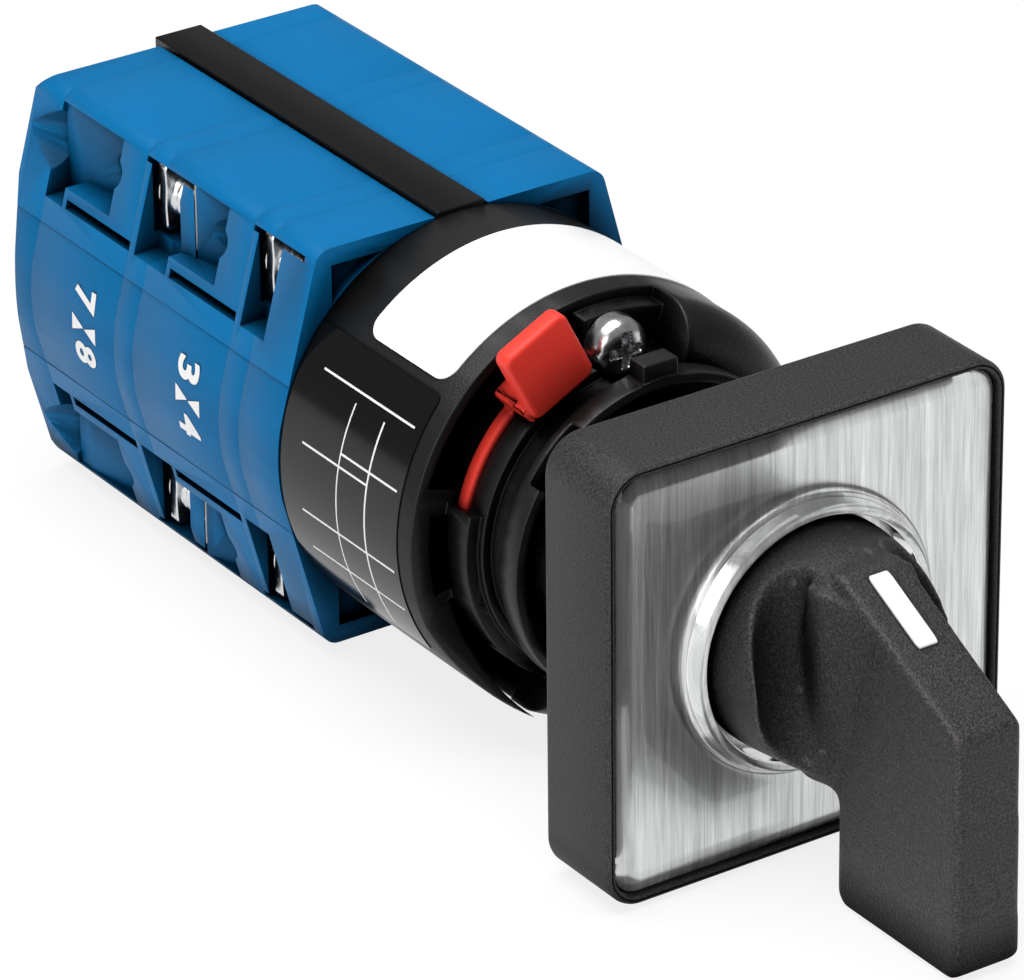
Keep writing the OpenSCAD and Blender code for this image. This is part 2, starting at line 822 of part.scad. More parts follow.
// Detent in the adapter's cavity
module detent_wheel() color(nylon) {
    prism(wheel_y[0], wheel_y[1]) difference() {
        circle(r = wheel_r, $fn = round_fn);
        circle(r = hub_r + seat_gap, $fn = round_fn);
        for (i = [0 : notch_count - 1]) rotate(90 + 360 * i / notch_count)
            translate([0, wheel_groove_at]) circle(r = wheel_notch_r, $fn = round_fn);
        translate([0, hub_r])
            square([wheel_key_w + 2 * seat_gap, 2 * (wheel_key_h + seat_gap)], center = true);
    }
}

module detent_rollers() color(zinc) {
    for (s = [-1, 1]) translate([s * roller_x, 0, 0]) rod(roller_r, wheel_y[0], wheel_y[1]);
}

module detent_slides() color(nylon) {
    for (s = [0, 1]) mirror([s, 0, 0]) difference() {
        box([slide_x[0], wheel_y[0], -slide_half_w], [slide_x[1], wheel_y[1], slide_half_w]);
        translate([roller_x, 0, 0]) rod(roller_r + seat_gap, wheel_y[0] - over, wheel_y[1] + over);
    }
}

module detent_springs() color(zinc) {
    length = cavity_r - slide_x[1] - 2 * spring_wire_r - 2 * seat_gap;
    for (s = [0, 1]) mirror([s, 0, 0])
        translate([slide_x[1] + spring_wire_r + seat_gap, (wheel_y[0] + wheel_y[1]) / 2, 0])
            rotate([0, 90, 0]) coil(spring_r - 2 * spring_wire_r, spring_wire_r, length, spring_turns);
}

module drive_shaft() color(nylon) {
    difference() {
        union() {
            rod(hub_r, drive_front_y, hub_end_y);
            prism(hub_end_y - over, cover_y) square(cam_square_w, center = true);
            rod(rear_journal_r, cover_y - over, cover_y + rear_journal_l);
            box([-wheel_key_w / 2, wheel_y[0], hub_r - wheel_key_h],
                [wheel_key_w / 2, wheel_y[1], hub_r + wheel_key_h]);
        }
        prism(drive_front_y - over, coupling_rear_y + square_gap)
            square(square_w + square_gap, center = true);
    }
}

// Contact block
module front_plate() color(housing_blue) {
    difference() {
        prism(plate_y, stage_1_y) block_outline();
        rod(hub_r + run_gap, plate_y - over, stage_1_y + over);
        prism(plate_y - over, plate_y + plate_pocket_d) difference() {
            square([2 * plate_pocket_x, 2 * plate_pocket_z], center = true);
            circle(r = housing_r, $fn = round_fn);
        }
        four_corners() {
            side_opening(stage_1_y, plate_opening_l, over);
            terminal_space(stage_1_y);
        }
        for (s = [-1, 1]) translate([0, 0, s * adapter_screw_z])
            rod(adapter_screw_r, plate_y - over, stage_1_y - adapter_screw_end + over);
        strap_channels();
        hook_spaces(plate_y - over, plate_y + hook_l + seat_gap);
    }
}

module hook_spaces(y0, y1) {
    half_w = strap_w / 2 + strap_side_gap;
    hook_z = top_z + strap_proud - strap_t - hook_drop - seat_gap;
    for (s = [0, 1]) mirror([0, 0, s])
        box([-half_w, y0, hook_z], [half_w, y1, top_z]);
}

module front_separator() color(housing_blue) separator(stage_1_y);

module front_stage() color(housing_blue) stage(stage_1_y);

module rear_separator() color(housing_blue) separator(stage_2_y);

module rear_stage() color(housing_blue) stage(stage_2_y);

module rear_cover() color(housing_blue) {
    difference() {
        intersection() {
            prism(cover_y, rear_y) block_outline();
            rear_rounding();
        }
        rod(rear_journal_r + run_gap, cover_y - over, cover_y + rear_journal_l + run_gap);
        four_corners() translate([notch_at[0], cover_y, notch_at[1]]) rotate([-90, 0, 0])
            cylinder(r1 = notch_front_r, r2 = notch_rear_r, h = notch_l, $fn = round_fn);
        strap_channels();
        hook_spaces(rear_y - hook_l - seat_gap, rear_y + over);
    }
}

// Envelope of the block with its four rear edges bevelled
module rear_rounding() {
    side_edge = 2 * cover_edge;
    intersection() {
        slab(-vertex_x, vertex_x) polygon([[cover_y, -top_z], [rear_y - cover_edge, -top_z],
            [rear_y, -top_z + cover_edge], [rear_y, top_z - cover_edge],
            [rear_y - cover_edge, top_z], [cover_y, top_z]]);
        translate([0, 0, -top_z]) linear_extrude(2 * top_z) polygon([[-vertex_x, cover_y],
            [-vertex_x, rear_y - side_edge], [-vertex_x + side_edge, rear_y],
            [vertex_x - side_edge, rear_y], [vertex_x, rear_y - side_edge], [vertex_x, cover_y]]);
    }
}

module strap() {
    lo = top_z + strap_proud - strap_t;
    box([-strap_w / 2, plate_y, lo], [strap_w / 2, rear_y, top_z + strap_proud]);
    for (y = [plate_y, rear_y - hook_l])
        box([-strap_w / 2, y, lo - hook_drop], [strap_w / 2, y + hook_l, lo + strap_t / 2]);
}

module top_strap() color(mould_black) strap();

module bottom_strap() color(mould_black) mirror([0, 0, 1]) strap();

module front_cam() color(nylon) cam(stage_1_y);

module rear_cam() color(nylon) cam(stage_2_y);

module front_right_plunger() color(nylon) plunger(stage_1_y);
module front_left_plunger() color(nylon) mirror([1, 0, 0]) plunger(stage_1_y);
module rear_right_plunger() color(nylon) plunger(stage_2_y);
module rear_left_plunger() color(nylon) mirror([1, 0, 0]) plunger(stage_2_y);

module front_right_bridge() color(brass) bridge(stage_1_y);
module front_left_bridge() color(brass) mirror([1, 0, 0]) bridge(stage_1_y);
module rear_right_bridge() color(brass) bridge(stage_2_y);
module rear_left_bridge() color(brass) mirror([1, 0, 0]) bridge(stage_2_y);

module front_right_spring() color(zinc) contact_spring(stage_1_y);
module front_left_spring() color(zinc) mirror([1, 0, 0]) contact_spring(stage_1_y);
module rear_right_spring() color(zinc) contact_spring(stage_2_y);
module rear_left_spring() color(zinc) mirror([1, 0, 0]) contact_spring(stage_2_y);

// Odd numbers are at the top and even ones at the bottom: 1, 2, 5 and 6 right, 3, 4, 7 and 8 left
module terminal_1() color(brass) terminal(stage_1_y);
module terminal_2() color(brass) mirror([0, 0, 1]) terminal(stage_1_y);
module terminal_3() color(brass) mirror([1, 0, 0]) terminal(stage_1_y);
module terminal_4() color(brass) mirror([1, 0, 0]) mirror([0, 0, 1]) terminal(stage_1_y);
module terminal_5() color(brass) terminal(stage_2_y);
module terminal_6() color(brass) mirror([0, 0, 1]) terminal(stage_2_y);
module terminal_7() color(brass) mirror([1, 0, 0]) terminal(stage_2_y);
module terminal_8() color(brass) mirror([1, 0, 0]) mirror([0, 0, 1]) terminal(stage_2_y);

module terminal_screws() color(zinc) {
    for (y = [stage_1_y, stage_2_y]) four_corners()
        translate([terminal_screw_at[0], 0, terminal_screw_at[1]]) {
            head_y = y + clamp_l + clamp_t;
            rod(terminal_screw_r, y - terminal_set, head_y + over);
            difference() {
                rod(terminal_head_r, head_y, head_y + terminal_head_h);
                translate([0, 2 * head_y + terminal_head_h, 0]) mirror([0, 1, 0]) driver_cross(head_y);
            }
        }
}

module clamp_washers() color(zinc) {
    for (y = [stage_1_y, stage_2_y]) four_corners()
        translate([terminal_screw_at[0], 0, terminal_screw_at[1]])
            prism(y + clamp_l, y + clamp_l + clamp_t) difference() {
                square(clamp_size, center = true);
                circle(r = terminal_screw_r + seat_gap, $fn = round_fn);
            }
}

bezel();
legend_plate();
window();
panel_seal();
handle();
handle_mark();
handle_clip();
coupling_shaft();
adapter();
lock_lever();
adapter_screws();
rating_label();
data_label();
detent_wheel();
detent_rollers();
detent_slides();
detent_springs();
drive_shaft();
front_plate();
front_separator();
front_stage();
rear_separator();
rear_stage();
rear_cover();
top_strap();
bottom_strap();
front_cam();
rear_cam();
front_right_plunger();
front_left_plunger();
rear_right_plunger();
rear_left_plunger();
front_right_bridge();
front_left_bridge();
rear_right_bridge();
rear_left_bridge();
front_right_spring();
front_left_spring();
rear_right_spring();
rear_left_spring();
terminal_1();
terminal_2();
terminal_3();
terminal_4();
terminal_5();
terminal_6();
terminal_7();
terminal_8();
terminal_screws();
clamp_washers();
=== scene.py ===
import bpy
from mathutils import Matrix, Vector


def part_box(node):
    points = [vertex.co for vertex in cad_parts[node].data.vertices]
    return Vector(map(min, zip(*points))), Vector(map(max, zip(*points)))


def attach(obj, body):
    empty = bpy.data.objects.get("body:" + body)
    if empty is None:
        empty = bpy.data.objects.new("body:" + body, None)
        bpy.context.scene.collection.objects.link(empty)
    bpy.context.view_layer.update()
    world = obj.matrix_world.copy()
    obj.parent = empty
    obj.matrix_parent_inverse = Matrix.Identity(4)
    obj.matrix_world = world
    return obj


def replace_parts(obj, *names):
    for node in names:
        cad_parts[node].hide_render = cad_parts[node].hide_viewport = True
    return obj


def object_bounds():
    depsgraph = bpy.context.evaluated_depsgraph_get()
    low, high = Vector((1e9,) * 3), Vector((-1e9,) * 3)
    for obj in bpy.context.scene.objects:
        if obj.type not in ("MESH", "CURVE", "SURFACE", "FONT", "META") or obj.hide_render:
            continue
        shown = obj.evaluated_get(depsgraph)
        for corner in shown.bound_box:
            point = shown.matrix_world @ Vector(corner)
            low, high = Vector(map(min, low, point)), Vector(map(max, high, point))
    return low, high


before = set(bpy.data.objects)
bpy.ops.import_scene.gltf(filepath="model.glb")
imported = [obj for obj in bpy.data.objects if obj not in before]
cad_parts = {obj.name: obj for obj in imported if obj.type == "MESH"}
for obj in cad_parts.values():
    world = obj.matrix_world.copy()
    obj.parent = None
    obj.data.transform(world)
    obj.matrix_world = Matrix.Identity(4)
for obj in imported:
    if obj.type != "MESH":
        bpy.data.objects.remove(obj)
cad_box = [list(corner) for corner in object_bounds()]

import math

import bmesh
import bpy
import numpy as np
from mathutils import Matrix, Vector

# The switch lies on a plain pale floor, as on a light table, and is seen from the upper left of its front.
# The camera is a long lens, 0.44 m away. Lengths below are in millimetres, and mm turns them into metres.
mm = 0.001
sensor_width, image_width, focal_length_in_pixels = 36, 1024, 7228
camera_data = bpy.data.cameras.new("camera")
camera_data.sensor_width = sensor_width
camera_data.lens = focal_length_in_pixels / image_width * sensor_width
camera_data.clip_start = 0.02
camera_data.clip_end = 5
camera = bpy.data.objects.new("camera", camera_data)
bpy.context.scene.collection.objects.link(camera)
turn, tip, roll = (math.radians(a) for a in (33.879, 27.17, 0.607))
back = Vector((-math.sin(turn) * math.cos(tip), -math.cos(turn) * math.cos(tip), math.sin(tip)))
right = Vector((math.cos(turn), -math.sin(turn), 0))
up = back.cross(right)
right, up = (right * math.cos(roll) - up * math.sin(roll), right * math.sin(roll) + up * math.cos(roll))
shift_right, shift_up, distance, aim_before_origin = -18.213, 8.815, 443.647, 6.8
eye = (shift_right * right + shift_up * up + distance * back) * mm - Vector((0, aim_before_origin, 0)) * mm
camera.matrix_world = Matrix((
    (right.x, up.x, back.x, eye.x),
    (right.y, up.y, back.y, eye.y),
    (right.z, up.z, back.z, eye.z),
    (0, 0, 0, 1)))
bpy.context.scene.camera = camera
bpy.context.scene.view_settings.view_transform = "Standard"


def seen_white(tree, share):
    """1 for rays that show a background (camera, mirror and glass rays), 0 for the rest, times a share."""
    path = tree.nodes.new("ShaderNodeLightPath")
    first = tree.nodes.new("ShaderNodeMath")
    first.operation = "MAXIMUM"
    second = tree.nodes.new("ShaderNodeMath")
    second.operation = "MAXIMUM"
    times = tree.nodes.new("ShaderNodeMath")
    times.operation = "MULTIPLY"
    times.inputs[1].default_value = share
    tree.links.new(path.outputs["Is Camera Ray"], first.inputs[0])
    tree.links.new(path.outputs["Is Transmission Ray"], first.inputs[1])
    tree.links.new(first.outputs[0], second.inputs[0])
    tree.links.new(path.outputs["Is Glossy Ray"], second.inputs[1])
    tree.links.new(second.outputs[0], times.inputs[0])
    return times


floor_material = bpy.data.materials.new("pale floor")
floor_material.use_nodes = True
floor_tree = floor_material.node_tree
floor_tree.nodes.clear()
floor_end = floor_tree.nodes.new("ShaderNodeOutputMaterial")
floor_mix = floor_tree.nodes.new("ShaderNodeMixShader")
floor_matte = floor_tree.nodes.new("ShaderNodeBsdfDiffuse")
floor_matte.inputs["Color"].default_value = (0.9, 0.9, 0.9, 1)
floor_white = floor_tree.nodes.new("ShaderNodeEmission")
floor_white.inputs["Strength"].default_value = 1
floor_white_share = 0.82
floor_tree.links.new(seen_white(floor_tree, floor_white_share).outputs[0], floor_mix.inputs[0])
floor_tree.links.new(floor_matte.outputs[0], floor_mix.inputs[1])
floor_tree.links.new(floor_white.outputs[0], floor_mix.inputs[2])
floor_tree.links.new(floor_mix.outputs[0], floor_end.inputs[0])
floor_drop, floor_half = 0.12, 1500
floor_z = cad_box[0][2] - floor_drop * mm
floor_corners = [(sx * floor_half * mm, sy * floor_half * mm, floor_z)
                 for sx, sy in ((-1, -1), (1, -1), (1, 1), (-1, 1))]
floor_mesh = bpy.data.meshes.new("floor")
floor_mesh.from_pydata(floor_corners, [], [(0, 1, 2, 3)])
floor_mesh.materials.append(floor_material)
floor = bpy.data.objects.new("floor", floor_mesh)
bpy.context.scene.collection.objects.link(floor)

# Light: a surround that is white to the camera and lights the switch with a share of that, a large soft lamp
# overhead, and a weaker one at the front left.
unseen_share = 0.24
world = bpy.data.worlds.new("studio")
bpy.context.scene.world = world
world.use_nodes = True
world_back = world.node_tree.nodes["Background"]
world_back.inputs["Color"].default_value = (1, 1, 1, 1)
world_plain = world.node_tree.nodes.new("ShaderNodeMath")
world_plain.operation = "MULTIPLY_ADD"
world_plain.inputs[1].default_value = 1 - unseen_share
world_plain.inputs[2].default_value = unseen_share
world_path = world.node_tree.nodes.new("ShaderNodeLightPath")
world.node_tree.links.new(world_path.outputs["Is Camera Ray"], world_plain.inputs[0])
world.node_tree.links.new(world_plain.outputs[0], world_back.inputs["Strength"])


def softbox(name, place, aim, width, height, power):
    """A rectangular lamp at a place, turned to face a point. Places are in mm and power is in watts."""
    lamp = bpy.data.lights.new(name, "AREA")
    lamp.shape = "RECTANGLE"
    lamp.size, lamp.size_y, lamp.energy = width * mm, height * mm, power
    holder = bpy.data.objects.new(name, lamp)
    holder.location = Vector(place) * mm
    holder.rotation_euler = (Vector(place) - Vector(aim)).to_track_quat("Z", "Y").to_euler()
    bpy.context.scene.collection.objects.link(holder)


softbox("overhead", place=(-60, 20, 420), aim=(0, 20, 0), width=420, height=420, power=2.7)
softbox("front left", place=(-320, -260, 160), aim=(0, 10, 0), width=260, height=320, power=0.5)


# Escutcheon: a square moulding in black grained plastic that frames the window. It clamps the panel against
# the adapter behind it by its tubular neck and two bayonet lugs, with a rubber seal on its rear face.
def plastic(name, colour, roughness, grain=0.0, grain_size=0.25, cloud=0.06, gloss=0.3, grain_glint=0.0,
            hollow=0.0, corner_highlight=0.0):
    """Moulded plastic: a colour that clouds slightly, and a fine grain of dents of one size in mm. The speck
    is how much paler the tops of the grain are painted, a painted glint on the grain. With hollow, places
    near walls are painted darker, in colour and gloss, by that power of how open they are, which is painted
    shade, and then worn is how much paler rounded corners are painted than flats, a painted highlight and not
    wear."""
    cloud_size, hollow_reach, uneven = 4, 4, 0.12
    flat_pointiness, corner_pointiness = 0.51, 0.56
    material = bpy.data.materials.new(name)
    material.use_nodes = True
    tree = material.node_tree
    shader = tree.nodes["Principled BSDF"]
    shader.inputs["Specular IOR Level"].default_value = gloss
    place = tree.nodes.new("ShaderNodeTexCoord")
    clouds = tree.nodes.new("ShaderNodeTexNoise")
    clouds.inputs["Scale"].default_value = 1 / (cloud_size * mm)
    clouds.inputs["Detail"].default_value = 4
    tone = tree.nodes.new("ShaderNodeMix")
    tone.data_type = "RGBA"
    tone.inputs[6].default_value = (*[c * (1 - cloud) for c in colour], 1)
    tone.inputs[7].default_value = (*[c * (1 + cloud) for c in colour], 1)
    tree.links.new(place.outputs["Object"], clouds.inputs["Vector"])
    tree.links.new(clouds.outputs["Fac"], tone.inputs[0])
    tree.links.new(tone.outputs[2], shader.inputs["Base Color"])
    # Painted shade: an ambient occlusion node darkens the colour, and dims the gloss, where near walls would
    # shade a place.
    if hollow:
        openness = tree.nodes.new("ShaderNodeAmbientOcclusion")
        openness.samples = 6
        openness.inputs["Distance"].default_value = hollow_reach * mm
        power = tree.nodes.new("ShaderNodeMath")
        power.operation = "POWER"
        power.inputs[1].default_value = hollow
        tree.links.new(openness.outputs["AO"], power.inputs[0])
        shade = tree.nodes.new("ShaderNodeVectorMath")
        shade.operation = "SCALE"
        tree.links.new(tone.outputs[2], shade.inputs[0])
        tree.links.new(power.outputs[0], shade.inputs["Scale"])
        sheen = tree.nodes.new("ShaderNodeMath")
        sheen.operation = "MULTIPLY"
        sheen.inputs[1].default_value = gloss
        tree.links.new(power.outputs[0], sheen.inputs[0])
        tree.links.new(sheen.outputs[0], shader.inputs["Specular IOR Level"])
        # Painted highlight: rounded corners, found by the pointiness of the surface, get a paler colour, as
        # if they caught the light.
        if corner_highlight:
            corners = tree.nodes.new("ShaderNodeNewGeometry")
            ramp = tree.nodes.new("ShaderNodeMapRange")
            ramp.inputs["From Min"].default_value = flat_pointiness
            ramp.inputs["From Max"].default_value = corner_pointiness
            ramp.inputs["To Min"].default_value = 1
            ramp.inputs["To Max"].default_value = 1 + corner_highlight
            tree.links.new(corners.outputs["Pointiness"], ramp.inputs["Value"])
            both = tree.nodes.new("ShaderNodeMath")
            both.operation = "MULTIPLY"
            tree.links.new(power.outputs[0], both.inputs[0])
            tree.links.new(ramp.outputs[0], both.inputs[1])
            tree.links.new(both.outputs[0], shade.inputs["Scale"])
        tree.links.new(shade.outputs[0], shader.inputs["Base Color"])
    dents = tree.nodes.new("ShaderNodeTexNoise")
    dents.inputs["Scale"].default_value = 1 / (grain_size * mm)
    dents.inputs["Detail"].default_value = 2
    tree.links.new(place.outputs["Object"], dents.inputs["Vector"])
    # Painted glints: the tops of the grain get a paler colour, for the sparkle of light on the grain.
    if grain_glint:
        peaks = tree.nodes.new("ShaderNodeMapRange")
        peaks.inputs["From Min"].default_value = 0.4
        peaks.inputs["From Max"].default_value = 0.7
        tree.links.new(dents.outputs["Fac"], peaks.inputs["Value"])
        tree.links.new(peaks.outputs[0], tone.inputs[0])
        tone.inputs[6].default_value = (*[c * (1 - grain_glint) for c in colour], 1)
        tone.inputs[7].default_value = (*[c * (1 + 2 * grain_glint) for c in colour], 1)
    rough = tree.nodes.new("ShaderNodeMapRange")
    rough.inputs["To Min"].default_value = roughness * (1 - uneven)
    rough.inputs["To Max"].default_value = roughness * (1 + uneven)
    tree.links.new(dents.outputs["Fac"], rough.inputs["Value"])
    tree.links.new(rough.outputs[0], shader.inputs["Roughness"])
    if grain:
        bump = tree.nodes.new("ShaderNodeBump")
        bump.inputs["Strength"].default_value = 1
        bump.inputs["Distance"].default_value = grain * mm
        tree.links.new(dents.outputs["Fac"], bump.inputs["Height"])
        tree.links.new(bump.outputs[0], shader.inputs["Normal"])
    return material


def eased(name, node, body, corner, material, steps=2):
    """Copy of a CAD solid whose loose triangles are joined, whose flat faces are whole again, and whose
    sharp corners are rounded by a bevel of the given width in mm, as a mould leaves them. A narrow bevel is
    also kept from running into the next one."""
    weld, narrow, same_plane_angle, corner_angle = 0.002, 0.1, 1, 28
    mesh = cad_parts[node].data.copy()
    work = bmesh.new()
    work.from_mesh(mesh)
    bmesh.ops.remove_doubles(work, verts=work.verts, dist=weld * mm)
    bmesh.ops.dissolve_limit(work, angle_limit=math.radians(same_plane_angle), verts=work.verts,
                             edges=work.edges)
    work.to_mesh(mesh)
    work.free()
    mesh.materials.clear()
    mesh.materials.append(material)
    piece = bpy.data.objects.new(name, mesh)
    bpy.context.scene.collection.objects.link(piece)
    mesh.shade_smooth()
    bevel = piece.modifiers.new("corners", "BEVEL")
    bevel.width = corner * mm
    bevel.segments = steps
    bevel.limit_method = "ANGLE"
    bevel.angle_limit = math.radians(corner_angle)
    bevel.use_clamp_overlap = corner < narrow
    bevel.miter_outer = "MITER_SHARP"
    bevel.harden_normals = True
    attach(piece, body)
    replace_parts(piece, node)


# The bezel black has painted shade in its hollows, and painted highlights on its rounded corners and on the
# tops of its grain.
black_grained = plastic("bezel_black", (0.02, 0.0195, 0.02), 0.48, grain=0.06, grain_size=0.15,
                       gloss=0.22, grain_glint=0.35, hollow=1.5, corner_highlight=1.2)
eased("escutcheon", "bezel", "frame", corner=0.35, material=black_grained, steps=3)


def finish(node, material):
    """Gives a CAD solid that stays as it is its material."""
    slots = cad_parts[node].data.materials
    slots.clear()
    slots.append(material)


finish("panel_seal", plastic("seal_rubber", (0.02, 0.02, 0.02), 0.75, grain=0.01))


# Legend plate: brushed aluminium under the window, left bare. The brush marks run up and down, of uneven
# depth, so that what it mirrors smears sideways.
def brushed(name, colour, roughness):
    """Metal with brush marks along Z: half fine and half coarse noise, squeezed across X and drawn out
    along Z, which both paints and dents the metal."""
    equal_share, dark, light, dent = 0.5, 0.55, 1.25, 0.02
    material = bpy.data.materials.new(name)
    material.use_nodes = True
    tree = material.node_tree
    shader = tree.nodes["Principled BSDF"]
    shader.inputs["Metallic"].default_value = 1
    place = tree.nodes.new("ShaderNodeTexCoord")
    marks = []
    for across, along, detail in ((9000, 260, 4), (2600, 90, 3)):
        stretch = tree.nodes.new("ShaderNodeMapping")
        stretch.inputs["Scale"].default_value = (across, across, along)
        noise = tree.nodes.new("ShaderNodeTexNoise")
        noise.inputs["Scale"].default_value = 1
        noise.inputs["Detail"].default_value = detail
        tree.links.new(place.outputs["Object"], stretch.inputs["Vector"])
        tree.links.new(stretch.outputs[0], noise.inputs["Vector"])
        marks.append(noise)
    both = tree.nodes.new("ShaderNodeMath")
    both.operation = "MULTIPLY_ADD"
    both.inputs[1].default_value = equal_share
    tree.links.new(marks[1].outputs["Fac"], both.inputs[0])
    halve = tree.nodes.new("ShaderNodeMath")
    halve.operation = "MULTIPLY"
    halve.inputs[1].default_value = equal_share
    tree.links.new(marks[0].outputs["Fac"], halve.inputs[0])
    tree.links.new(halve.outputs[0], both.inputs[2])
    tone = tree.nodes.new("ShaderNodeMapRange")
    tone.inputs["From Min"].default_value = 0.3
    tone.inputs["From Max"].default_value = 0.7
    tree.links.new(both.outputs[0], tone.inputs["Value"])
    paint = tree.nodes.new("ShaderNodeMix")
    paint.data_type = "RGBA"
    paint.inputs[6].default_value = (*[c * dark for c in colour], 1)
    paint.inputs[7].default_value = (*[min(1, c * light) for c in colour], 1)
    tree.links.new(tone.outputs[0], paint.inputs[0])
    tree.links.new(paint.outputs[2], shader.inputs["Base Color"])
    shader.inputs["Roughness"].default_value = roughness
    bump = tree.nodes.new("ShaderNodeBump")
    bump.inputs["Strength"].default_value = 1
    bump.inputs["Distance"].default_value = dent * mm
    tree.links.new(both.outputs[0], bump.inputs["Height"])
    tree.links.new(bump.outputs[0], shader.inputs["Normal"])
    return material


finish("legend_plate", brushed("legend_aluminium", (0.86, 0.86, 0.88), 0.28))

# Window: clear acrylic with a bevelled border and a raised conical ring round the handle. It lies on the
# legend plate and snaps into the escutcheon. Light passes it, and its edges glint.
clear = bpy.data.materials.new("clear_window")
clear.use_nodes = True
clear_tree = clear.node_tree
clear_shader = clear_tree.nodes["Principled BSDF"]
clear_shader.inputs["Base Color"].default_value = (0.96, 0.97, 0.97, 1)
clear_shader.inputs["Roughness"].default_value = 0.03
clear_shader.inputs["IOR"].default_value = 1.49
clear_shader.inputs["Transmission Weight"].default_value = 1
clear_open = clear_tree.nodes.new("ShaderNodeBsdfTransparent")
clear_path = clear_tree.nodes.new("ShaderNodeLightPath")
clear_mix = clear_tree.nodes.new("ShaderNodeMixShader")
clear_tree.links.new(clear_path.outputs["Is Shadow Ray"], clear_mix.inputs[0])
clear_tree.links.new(clear_shader.outputs[0], clear_mix.inputs[1])
clear_tree.links.new(clear_open.outputs[0], clear_mix.inputs[2])
clear_tree.links.new(clear_mix.outputs[0], clear_tree.nodes["Material Output"].inputs[0])


def skin(name, rows, material, body, closed="caps", crease=35):
    """Surface through rows of points in mm, rows[i, j]. Each row is a closed ring, and quads join a row to
    the next. "loop" joins the last row to the first, "caps" shuts both ends with a flat face, and "poles"
    takes rows that end in points. Corners sharper than the crease angle stay sharp."""
    weld = 0.001
    count, around = rows.shape[:2]
    index = np.arange(count * around).reshape(count, around)
    shut = np.vstack([index, index[:1]]) if closed == "loop" else index
    low, high = shut[:-1], shut[1:]
    faces = np.stack([low, np.roll(low, -1, 1), np.roll(high, -1, 1), high], -1).reshape(-1, 4).tolist()
    if closed == "caps":
        faces += [index[0][::-1].tolist(), index[-1].tolist()]
    mesh = bpy.data.meshes.new(name)
    mesh.from_pydata((rows.reshape(-1, 3) * mm).tolist(), [], faces)
    work = bmesh.new()
    work.from_mesh(mesh)
    bmesh.ops.remove_doubles(work, verts=work.verts, dist=weld * mm)
    bmesh.ops.recalc_face_normals(work, faces=work.faces)
    work.to_mesh(mesh)
    work.free()
    mesh.shade_smooth()
    mesh.set_sharp_from_angle(angle=math.radians(crease))
    mesh.materials.append(material)
    piece = bpy.data.objects.new(name, mesh)
    bpy.context.scene.collection.objects.link(piece)
    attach(piece, body)
    return piece


def square_outline(half, corner, steps=24):
    """Outline of a square with round corners: quarter circles about the four corner centres, and between them
    straight sides with points that stand at even angles about the middle."""
    sweep = np.linspace(0, math.pi / 2, steps)
    reach = math.atan2(half - corner, half)
    side = half * np.tan(np.linspace(-reach, reach, 2 * steps)[1:-1])
    outline = []
    for quarter in range(4):
        arc = np.stack([half - corner + corner * np.cos(sweep), half - corner + corner * np.sin(sweep)], -1)
        edge = np.stack([-side, np.full(side.shape, half)], -1)
        turn = quarter * math.pi / 2
        spin = np.array([[math.cos(turn), math.sin(turn)], [-math.sin(turn), math.cos(turn)]])
        outline.append(np.vstack([arc, edge]) @ spin)
    return np.vstack(outline)


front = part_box("window")[0].y / mm
pane_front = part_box("bezel")[0].y / mm
pane_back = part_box("window")[1].y / mm
pane_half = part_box("window")[1].x / mm
pane_corner, pane_least_corner, plate_gap, pane_crease = 1.85, 0.75, 0.02, 60
border_inset_y = ((0, pane_back - plate_gap), (0, -6.2), (0.06, -6.32), (0.9, -6.74), (1.0, -6.785),
                  (1.12, pane_front))
ring_r_y = ((9.9, pane_front), (9.5, pane_front - 0.02), (9.3, pane_front - 0.12), (8.95, front + 0.16),
            (8.86, front + 0.05), (8.7, front), (8.42, front), (8.3, front + 0.05), (8.25, front + 0.17),
            (8.25, pane_back - plate_gap))
border = square_outline(pane_half, pane_corner)
compass = border / np.linalg.norm(border, axis=1, keepdims=True)
pane_rows = []
for inset, y in border_inset_y:
    outline = square_outline(pane_half - inset, max(pane_corner - inset, pane_least_corner))
    pane_rows.append(np.insert(outline, 1, y, axis=1))
for r, y in ring_r_y:
    pane_rows.append(np.insert(compass * r, 1, y, axis=1))
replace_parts(skin("window_pane", np.array(pane_rows), clear, "frame", "loop", pane_crease),
            "window")


# Handle: one moulding in charcoal plastic with a coarse spark-eroded grain. The grip blade grows out of a
# conical hub between two hollows for finger and thumb, and every corner is softly rounded.
def softened(name, nodes, body, cell, passes, material, extra=()):
    """Copies of CAD solids, with any extra closed meshes, united and covered by one skin of cells of one size
    in mm. Each pass moves every point half way to the middle of its neighbours, which rounds all corners."""
    weld, half_way = 0.002, 0.5
    solids = []
    for solid_mesh in [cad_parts[node].data.copy() for node in nodes] + list(extra):
        work = bmesh.new()
        work.from_mesh(solid_mesh)
        bmesh.ops.remove_doubles(work, verts=work.verts, dist=weld * mm)
        work.to_mesh(solid_mesh)
        work.free()
        solids.append(bpy.data.objects.new(name, solid_mesh))
        bpy.context.scene.collection.objects.link(solids[-1])
    for solid in solids[1:]:
        union = solids[0].modifiers.new("union", "BOOLEAN")
        union.operation = "UNION"
        union.solver = "EXACT"
        union.object = solid
    bpy.context.view_layer.update()
    mesh = bpy.data.meshes.new_from_object(solids[0].evaluated_get(bpy.context.evaluated_depsgraph_get()))
    for solid in solids:
        bpy.data.objects.remove(solid)
    mesh.materials.clear()
    mesh.materials.append(material)
    piece = bpy.data.objects.new(name, mesh)
    bpy.context.scene.collection.objects.link(piece)
    cells = piece.modifiers.new("cells", "REMESH")
    cells.mode = "VOXEL"
    cells.voxel_size = cell * mm
    cells.use_smooth_shade = True
    relax = piece.modifiers.new("relax", "SMOOTH")
    relax.factor = half_way
    relax.iterations = passes
    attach(piece, body)
    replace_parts(piece, *nodes)


